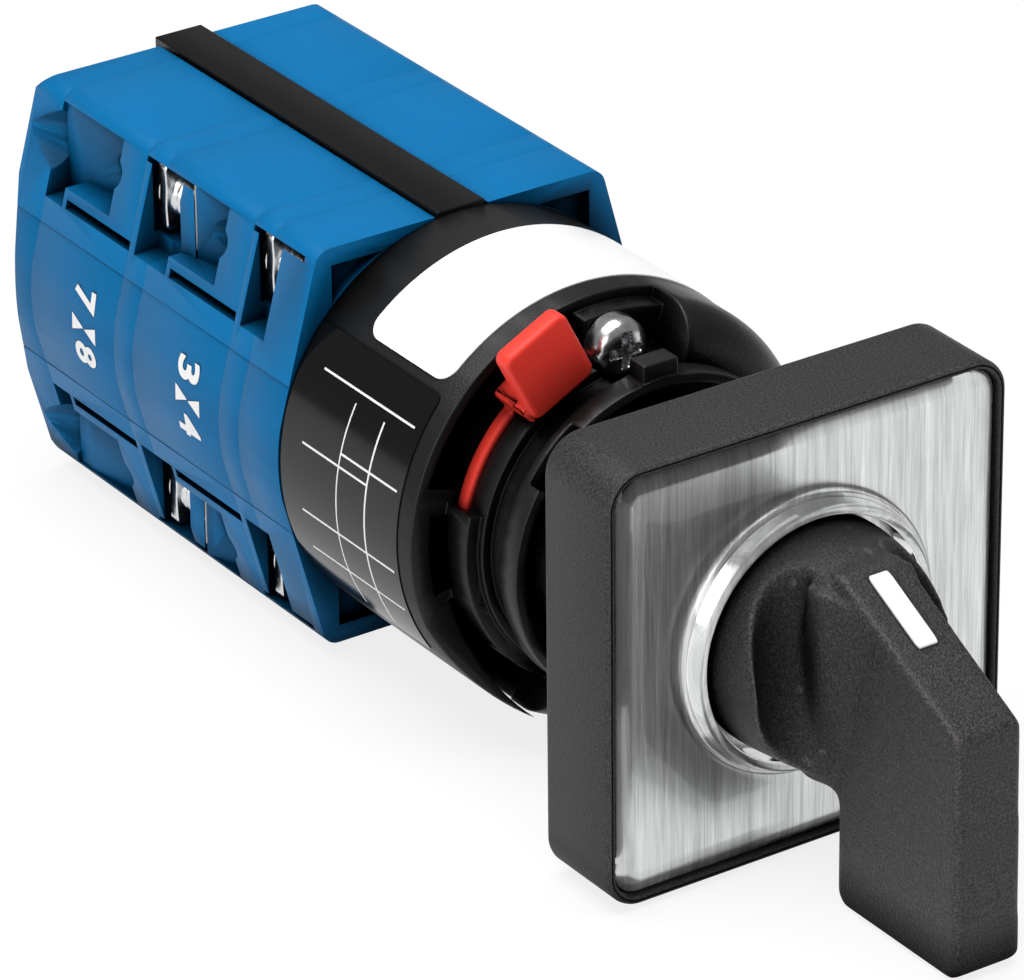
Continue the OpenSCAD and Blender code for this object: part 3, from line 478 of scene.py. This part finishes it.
def root_fillet(side):
    """Fillet from the ridge beside a hollow to the blade's flank, from its top (height 0) to its foot (1).
    Its outer edge runs forward from the ridge, and the distance from the flank falls with the 1.4th power of
    the way that is left. The rest is sunk in the blade, and the top stays under the blade's slope."""
    levels, steps, power = 20, 12, 1.4
    flank_x, sunk_x, sunk_y, ridge_set = 2.3, 1.5, 1.5, 0.1
    ridge_top, ridge_shift = (3.6, -12.55), (-0.5, 1.3)
    reach_top, reach_loss = 4.6, 1.4
    highest, foot, slope_start, slope, below_slope = 6.4, 7.4, (-13, 7.4), 0.508, 0.7
    height = np.linspace(0, 1, levels)[:, None]
    ridge_x = ridge_top[0] + ridge_shift[0] * height
    ridge_y = ridge_top[1] + ridge_shift[1] * height
    along = np.linspace(0, 1, steps)[None, :]
    out_x = flank_x + (ridge_x - flank_x) * (1 - along) ** power
    out_y = ridge_y - (reach_top - reach_loss * height) * along
    sunk = np.full((levels, 1), sunk_x)
    x = np.concatenate([out_x, sunk, sunk, ridge_x - ridge_set], 1)
    y = np.concatenate([out_y, out_y[:, -1:], ridge_y + sunk_y, ridge_y + sunk_y], 1)
    top = np.minimum(highest, slope_start[1] + slope * (y - slope_start[0]) - below_slope)
    rows = np.stack([side * x, y, top - (top + foot) * height], -1)
    index = np.arange(rows.shape[0] * rows.shape[1]).reshape(rows.shape[:2])
    low, high = index[:-1], index[1:]
    faces = np.stack([low, np.roll(low, -1, 1), np.roll(high, -1, 1), high], -1).reshape(-1, 4).tolist()
    faces += [index[0][::-1].tolist(), index[-1].tolist()]
    mesh = bpy.data.meshes.new("fillet")
    mesh.from_pydata((rows.reshape(-1, 3) * mm).tolist(), [], faces)
    work = bmesh.new()
    work.from_mesh(mesh)
    bmesh.ops.recalc_face_normals(work, faces=work.faces)
    work.to_mesh(mesh)
    work.free()
    return mesh


# The charcoal has strong painted shade in its hollows, so that the finger hollows go near black, and painted
# highlights on its rounded corners and grain tops.
charcoal = plastic("handle_grey", (0.03, 0.0275, 0.028), 0.42, grain=0.08, grain_size=0.15,
                   gloss=0.25, grain_glint=0.45, hollow=3.6, corner_highlight=1.3)
softened("grip", ["handle"], body="rotor", cell=0.17, passes=36, material=charcoal,
         extra=[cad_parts["handle_mark"].data.copy(), root_fillet(1), root_fillet(-1)])

# Index mark: a white inlay on the slope of the blade, with round corners, that points at the position set.
# It stands proud by a hair.
white_print = plastic("mark_white", (0.8, 0.8, 0.8), 0.45)
mark_low, mark_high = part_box("handle_mark")
mark_half_w, mark_half_l, mark_corner_share, mark_lift = 0.75, 2.9, 0.2, 0.25
mark_inset_height = ((0, -0.6), (0, -0.01), (0.05, 0.04), (0.12, 0.05))
slope_drop, slope_length = 6.1, 12
slope_turn = math.atan2(slope_drop, slope_length)
across = np.array([1.0, 0, 0])
down_slope = np.array([0, -math.cos(slope_turn), -math.sin(slope_turn)])
off_slope = np.array([0, -math.sin(slope_turn), math.cos(slope_turn)])
mark_middle = np.array([*((mark_low + mark_high) / 2)]) / mm + mark_lift * off_slope
mark_edge = square_outline(1, mark_corner_share, steps=8)
mark_rows = [mark_middle + np.outer(mark_edge[:, 0] * (mark_half_w - inset), across)
             + np.outer(mark_edge[:, 1] * (mark_half_l - inset), down_slope) + off_slope * height
             for inset, height in mark_inset_height]
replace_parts(skin("index_mark", np.array(mark_rows), white_print, "rotor"), "handle_mark")

# Adapter: black plastic housing behind the panel, moulded in one with the collar that centres it in the
# panel hole, the slot of the locking lever and the pockets that save material.
# The adapter black has painted shade in its hollows and painted highlights on its rounded corners.
black_smooth = plastic("adapter_black", (0.0055, 0.0055, 0.0055), 0.34, grain=0.02, grain_size=0.16,
                       gloss=0.3, hollow=2.2, corner_highlight=1.5)
eased("adapter_housing", "adapter", "frame", corner=0.13, material=black_smooth)

# Locking lever: red plastic, moulded in one with the ring that turns behind the collar. Its tab is pushed
# with a screwdriver or a finger to free the escutcheon.
# The red has painted shade in its hollows.
red = plastic("lever_red", (0.85, 0.05, 0.034), 0.42, grain=0.006, gloss=0.25, hollow=1.6)
eased("lever", "lock_lever", "lever", corner=0.3, material=red, steps=3)


# Labels: thin films round the housing, a bare white one on top and a glossy black one on the left, which
# has a few thin white lines as of a table.
def film(name, clocks, ys, corner, r, thick, material):
    """Film on a cylinder: across it runs the clock angle and along it y. Each row's half width is the full
    one less what a round corner takes there, and the film has an outer face, an edge and an inner face."""
    rows_along, points_across, crease = 61, 97, 50
    half_turn = (clocks[1] - clocks[0]) / 2
    half_y = (ys[1] - ys[0]) / 2
    t = np.linspace(-1, 1, rows_along)
    y = half_y * np.sin(t * math.pi / 2)
    into = np.clip(np.abs(y) - (half_y - corner), 0, corner)
    width = half_turn - np.degrees((corner - np.sqrt(corner ** 2 - into ** 2)) / r)
    u = np.linspace(-1, 1, points_across)
    clock = np.radians((clocks[0] + clocks[1]) / 2 + width[:, None] * u)
    ring_clock = np.concatenate([clock, clock[:, ::-1]], 1)
    ring_r = np.concatenate([np.full(clock.shape, r + thick), np.full(clock.shape, r)], 1)
    rows = np.stack([ring_r * np.sin(ring_clock),
                     np.broadcast_to((y + (ys[0] + ys[1]) / 2)[:, None], ring_r.shape),
                     ring_r * np.cos(ring_clock)], -1)
    return skin(name, rows, material, "frame", "caps", crease)


housing_r, film_t, line_corner, line_t = 14.3, 0.09, 0.04, 0.01
white_film = plastic("label_white", (0.82, 0.815, 0.81), 0.35, cloud=0.01)
black_film = plastic("label_black", (0.003, 0.003, 0.003), 0.14, cloud=0.02)
rating_lo, rating_hi = (corner.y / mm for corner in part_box("rating_label"))
data_lo, data_hi = (corner.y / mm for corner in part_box("data_label"))
rating_clocks, rating_corner, data_clocks, data_corner = (-45.5, 62), 1.3, (-125, -48.5), 0.5
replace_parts(film("rating_film", rating_clocks, (rating_lo, rating_hi), rating_corner, housing_r, film_t,
                 white_film), "rating_label")
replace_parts(film("data_film", data_clocks, (data_lo, data_hi), data_corner, housing_r, film_t,
                 black_film), "data_label")
for number, (clocks, ys) in enumerate((
        ((-59.2, -58.6), (18.2, 28.6)), ((-122, -62), (21.0, 21.16)), ((-122, -62), (24.3, 24.42)),
        ((-76, -75.4), (17.9, 24.3)), ((-98.6, -98), (17.9, 28.6)), ((-110.6, -110), (17.9, 28.6)),
        ((-79.5, -78.9), (21.0, 28.6)))):
    film(f"table_line_{number}", clocks, ys, line_corner, housing_r + film_t, line_t, white_print)

# Adapter screws: two long ones of zinc-plated steel, in line with the key lug, that hold the adapter to the
# block. Their pan heads have a cross recess.
metal = bpy.data.materials.new("zinc_steel")
metal.use_nodes = True
metal_tree = metal.node_tree
metal_shader = metal_tree.nodes["Principled BSDF"]
metal_shader.inputs["Metallic"].default_value = 1
metal_place = metal_tree.nodes.new("ShaderNodeTexCoord")
metal_noise = metal_tree.nodes.new("ShaderNodeTexNoise")
metal_noise.inputs["Scale"].default_value = 1 / (0.5 * mm)
metal_noise.inputs["Detail"].default_value = 5
metal_tree.links.new(metal_place.outputs["Object"], metal_noise.inputs["Vector"])
metal_tone = metal_tree.nodes.new("ShaderNodeMix")
metal_tone.data_type = "RGBA"
metal_tone.inputs[6].default_value = (0.5, 0.51, 0.52, 1)
metal_tone.inputs[7].default_value = (0.85, 0.86, 0.87, 1)
metal_tree.links.new(metal_noise.outputs["Fac"], metal_tone.inputs[0])
metal_tree.links.new(metal_tone.outputs[2], metal_shader.inputs["Base Color"])
metal_rough = metal_tree.nodes.new("ShaderNodeMapRange")
metal_rough.inputs["To Min"].default_value = 0.12
metal_rough.inputs["To Max"].default_value = 0.34
metal_tree.links.new(metal_noise.outputs["Fac"], metal_rough.inputs["Value"])
metal_tree.links.new(metal_rough.outputs[0], metal_shader.inputs["Roughness"])
metal_bump = metal_tree.nodes.new("ShaderNodeBump")
metal_bump.inputs["Strength"].default_value = 1
metal_bump.inputs["Distance"].default_value = 0.008 * mm
metal_tree.links.new(metal_noise.outputs["Fac"], metal_bump.inputs["Height"])
metal_tree.links.new(metal_bump.outputs[0], metal_shader.inputs["Normal"])


def screw_rows(centre, head_y, head_r, head_h, shank_r, shank_end, facing, pitch=0.0, depth=0.0):
    """Pan-head screw along Y. Head: going out by a share of the way to the rim, the radius grows with the
    sine of the share and the height falls with its 2.6th power. It is sunk where the cross recess is, by a
    smooth step of the distance to the cross. Shank: a radius that waves with y and the turn together, which
    is a thread of one pitch. facing is -1 where the head looks forward."""
    points_around, head_rows = 96, 44
    turn = np.linspace(0, 2 * math.pi, points_around + 1)[:-1][None, :]
    share = np.linspace(0, 1, head_rows)[:, None]
    power, fall, cross_half_w, cross_half_l, cross_wall, cross_depth = 2.6, 0.62, 0.26, 1.15, 0.16, 0.85
    radius = head_r * np.sin(share * math.pi / 2)
    dome = head_h * (1 - (share ** power) * fall) + 0 * turn
    x, z = radius * np.sin(turn), radius * np.cos(turn)
    arm = np.minimum(np.maximum(np.abs(x) - cross_half_w, np.abs(z) - cross_half_l),
                     np.maximum(np.abs(z) - cross_half_w, np.abs(x) - cross_half_l))
    sink = np.clip(0.5 - arm / cross_wall, 0, 1)
    dome = dome - cross_depth * head_h * fall * sink * sink * (3 - 2 * sink)
    side_y = np.array([[0.25], [0.08], [0.0]]) * head_h * 0.5
    side_r = np.array([[1.0], [1.0], [0.96]]) * head_r
    row_step, least_rows, fade_rows, root_share, root_slope = 0.05, 8, 6, 0.1, 1.25
    steps = max(least_rows, int(abs(shank_end - head_y) / row_step))
    along = np.linspace(0, 1, steps)[:, None]
    shank_y = head_y + (shank_end - head_y) * along
    wave = np.abs((shank_y / pitch - turn / (2 * math.pi)) % 1 - 0.5) * 2 if pitch else 0 * turn + 0 * along
    fade = np.clip(np.minimum(along, 1 - along) * steps / fade_rows, 0, 1)
    shank_r_all = shank_r - depth * (1 - np.clip((wave - root_share) * root_slope, 0, 1)) * fade
    r = np.concatenate([radius + 0 * turn, side_r + 0 * turn, shank_r_all + 0 * turn, 0 * turn], 0)
    y = np.concatenate([head_y + facing * dome, head_y + facing * side_y + 0 * turn, shank_y + 0 * turn,
                        shank_end + 0 * turn], 0)
    return np.stack([centre[0] + r * np.sin(turn), y, centre[1] + r * np.cos(turn)], -1)


def merged(name, parts, material, body, crease=40):
    """Several row surfaces of one kind of piece in one mesh."""
    pieces = [skin(f"{name}_{n}", rows, material, body, "poles", crease)
              for n, rows in enumerate(parts)]
    work = bmesh.new()
    for piece in pieces:
        work.from_mesh(piece.data)
    mesh = pieces[0].data
    work.to_mesh(mesh)
    work.free()
    for piece in pieces[1:]:
        bpy.data.objects.remove(piece)
    pieces[0].name = name
    return pieces[0]


pan_r, pan_h, long_screw_z = 2, 2, 11.5
head_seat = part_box("adapter_screws")[0].y / mm + pan_h
screw_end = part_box("adapter_screws")[1].y / mm
adapter_screw_set = merged("adapter_screw_set", [
    screw_rows((0, side * long_screw_z), head_seat, pan_r, pan_h, shank_r=1.2, shank_end=screw_end, facing=-1)
    for side in (1, -1)], metal, "frame")
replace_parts(adapter_screw_set, "adapter_screws")

# Contact block: stacked mouldings in blue plastic, each stage with its separator, between a front plate and
# a rear cover. Their corners catch the light in fine lines where they meet.
# The blue has painted shade in its pockets and other hollows, and slightly paler painted highlights on its
# rounded corners.
blue = plastic("block_blue", (0.0004, 0.094, 0.235), 0.46, grain=0.012, grain_size=0.2, gloss=0.13,
               hollow=2.4, corner_highlight=0.5)
for part in ("front_plate", "front_separator", "front_stage", "rear_separator", "rear_stage", "rear_cover"):
    eased(part + "_moulding", part, "frame", corner=0.05, material=blue)

# Straps: two black plastic strips, above and below, that hook round the stack and hold it together. They lie
# in channels and stand a little proud.
strap_black = plastic("strap_black", (0.004, 0.004, 0.004), 0.34, grain=0.006, gloss=0.2)
for strap in ("top_strap", "bottom_strap"):
    eased(strap + "_strip", strap, "frame", corner=0.12, material=strap_black)

# Terminals: clamp screws with a machine thread, square spring washers, and plated contact bars. Each stage
# has four, one at each corner, with the screw heads to the rear.
joints_y = [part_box(part)[0].y / mm for part in ("front_separator", "rear_separator")]
screw_x, screw_z = 9, 10.9
clamp_l, clamp_t, thread_l = 0.7, 1.0, 3.4
corners = [(sx, sz) for sx in (-1, 1) for sz in (-1, 1)]
terminal_screw_set = merged("terminal_screw_set", [
    screw_rows((sx * screw_x, sz * screw_z), y + clamp_l + clamp_t, head_r=1.85, head_h=1.9, shank_r=1.75,
               shank_end=y - thread_l, facing=1, pitch=0.62, depth=0.26)
    for y in joints_y for sx, sz in corners], metal, "frame")
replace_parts(terminal_screw_set, "terminal_screws")


def washer_rows(centre, y):
    """Square spring washer: rounded square rings grow from its middle, turn over its edge and shrink again.
    It bows forward at its sides by the square of x, and waves a little with z."""
    half_w, half_h, corner_share, corner_steps = 1.9, 2.4, 0.2, 12
    bowed, waved, wave_rate = 0.12, 0.05, 2.1
    scale_depth = ((0.0, 1.0), (0.5, 1.0), (0.86, 1.0), (0.96, 0.96), (1.0, 0.86), (1.0, 0.14),
                   (0.96, 0.04), (0.86, 0.0), (0.5, 0.0), (0.0, 0.0))
    rows = []
    for scale, depth in scale_depth:
        outline = square_outline(1, corner_share, corner_steps) * (half_w, half_h) * scale
        bow = bowed * (outline[:, 0] / half_w) ** 2 - bowed + waved * np.sin(outline[:, 1] * wave_rate)
        rows.append(np.stack([centre[0] + outline[:, 0], y + clamp_t * depth - bow,
                              centre[1] + outline[:, 1]], -1))
    return np.array(rows)


washer_set = merged("washer_set", [
    washer_rows((sx * screw_x, sz * screw_z), y + clamp_l) for y in joints_y for sx, sz in corners],
    metal, "frame", crease=30)
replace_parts(washer_set, "clamp_washers")

nickel = bpy.data.materials.new("contact_brass")
nickel.use_nodes = True
nickel_tree = nickel.node_tree
nickel_shader = nickel_tree.nodes["Principled BSDF"]
nickel_shader.inputs["Metallic"].default_value = 1
nickel_shader.inputs["Roughness"].default_value = 0.3
nickel_place = nickel_tree.nodes.new("ShaderNodeTexCoord")
nickel_noise = nickel_tree.nodes.new("ShaderNodeTexNoise")
nickel_noise.inputs["Scale"].default_value = 1 / (0.8 * mm)
nickel_tone = nickel_tree.nodes.new("ShaderNodeMix")
nickel_tone.data_type = "RGBA"
nickel_tone.inputs[6].default_value = (0.42, 0.4, 0.36, 1)
nickel_tone.inputs[7].default_value = (0.62, 0.6, 0.55, 1)
nickel_tree.links.new(nickel_place.outputs["Object"], nickel_noise.inputs["Vector"])
nickel_tree.links.new(nickel_noise.outputs["Fac"], nickel_tone.inputs[0])
nickel_tree.links.new(nickel_tone.outputs[2], nickel_shader.inputs["Base Color"])
stages = ("front_right", "front_left", "rear_right", "rear_left")
for node in [f"terminal_{n}" for n in range(1, 9)] + [f"{stage}_bridge" for stage in stages]:
    finish(node, nickel)


# Terminal numbers: white print on the rounded sides, read from top to bottom, with a switch mark between the
# two numbers of each contact. Odd numbers are at the top.
def printed(name, outline_mesh, side, y_centre, clock, r):
    """Print bent round the block's side: along the reading direction the clock angle grows by length over
    radius, and the top of the letters points to the front on the left side and to the rear on the right."""
    proud, weld = 0.03, 0.0005
    count = len(outline_mesh.vertices)
    flat = np.empty(count * 3)
    outline_mesh.vertices.foreach_get("co", flat)
    flat = flat.reshape(-1, 3)
    turn = np.radians(clock) + flat[:, 0] / r
    out = r + proud + flat[:, 2]
    place = np.stack([side * out * np.sin(turn), y_centre + side * flat[:, 1], out * np.cos(turn)], -1)
    outline_mesh.vertices.foreach_set("co", (place * mm).ravel())
    outline_mesh.update()
    work = bmesh.new()
    work.from_mesh(outline_mesh)
    bmesh.ops.remove_doubles(work, verts=work.verts, dist=weld * mm)
    bmesh.ops.recalc_face_normals(work, faces=work.faces)
    work.to_mesh(outline_mesh)
    work.free()
    outline_mesh.materials.clear()
    outline_mesh.materials.append(white_print)
    piece = bpy.data.objects.new(name, outline_mesh)
    bpy.context.scene.collection.objects.link(piece)
    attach(piece, "frame")


def digit(text):
    """One number as a thin solid in the XY plane, centred, drawn out to the height and width of the print."""
    narrow_w, wide_w, height, thickness, half_depth, bolder = 0.9, 1.6, 2.55, 0.024, 0.05, 0.03
    curve = bpy.data.curves.new("digit", "FONT")
    curve.body = text
    curve.extrude = half_depth
    curve.offset = bolder
    holder = bpy.data.objects.new("digit", curve)
    bpy.context.scene.collection.objects.link(holder)
    bpy.context.view_layer.update()
    mesh = bpy.data.meshes.new_from_object(holder.evaluated_get(bpy.context.evaluated_depsgraph_get()))
    bpy.data.objects.remove(holder)
    flat = np.empty(len(mesh.vertices) * 3)
    mesh.vertices.foreach_get("co", flat)
    flat = flat.reshape(-1, 3)
    low, high = flat.min(0), flat.max(0)
    size = np.array([narrow_w if text == "1" else wide_w, height, thickness])
    mesh.vertices.foreach_set("co", ((flat - (low + high) / 2) / (high - low) * size).ravel())
    return mesh


def switch_mark():
    """Two triangles tip to tip along Y with a slight slant, as a thin solid in the XY plane."""
    tip, right_end, left_end, half_t = (0.02, 0.06), (0.72, 1.45), (-0.5, 1.45), 0.012
    mesh = bpy.data.meshes.new("switch_mark")
    points, faces = [], []
    for way in (1, -1):
        base = len(points)
        half = [(way * x, way * y) for x, y in (tip, right_end, left_end)]
        points += [(x, y, z) for z in (-half_t, half_t) for x, y in half]
        faces += [(base, base + 1, base + 2), (base + 5, base + 4, base + 3)]
        faces += [(base + i, base + 3 + i, base + 3 + (i + 1) % 3, base + (i + 1) % 3) for i in range(3)]
    mesh.from_pydata(points, [], faces)
    return mesh


block_side_r = 14.4
front_print_y, rear_print_y = 42.2, 55.3
odd_clock, mark_clock, even_clock = 80.6, 89.2, 96.9
for side, name, y, odd, even in ((-1, "rear_left", rear_print_y, "7", "8"),
                                 (-1, "front_left", front_print_y, "3", "4"),
                                 (1, "rear_right", rear_print_y, "5", "6"),
                                 (1, "front_right", front_print_y, "1", "2")):
    printed(f"{name}_odd", digit(odd), side, y, odd_clock, block_side_r)
    printed(f"{name}_mark", switch_mark(), side, y, mark_clock, block_side_r)
    printed(f"{name}_even", digit(even), side, y, even_clock, block_side_r)

# Inner pieces, which only show when the switch is taken apart. The moulded ones, such as cams, plungers and
# the drive shaft, are natural nylon, and the clip, square shaft, rollers and springs are steel.
nylon = plastic("nylon_natural", (0.68, 0.66, 0.58), 0.5)
for node in ("detent_wheel", "detent_slides", "drive_shaft", "front_cam", "rear_cam",
             *[f"{stage}_plunger" for stage in stages]):
    finish(node, nylon)
for node in ("handle_clip", "coupling_shaft", "detent_rollers", "detent_springs",
             *[f"{stage}_spring" for stage in stages]):
    finish(node, metal)
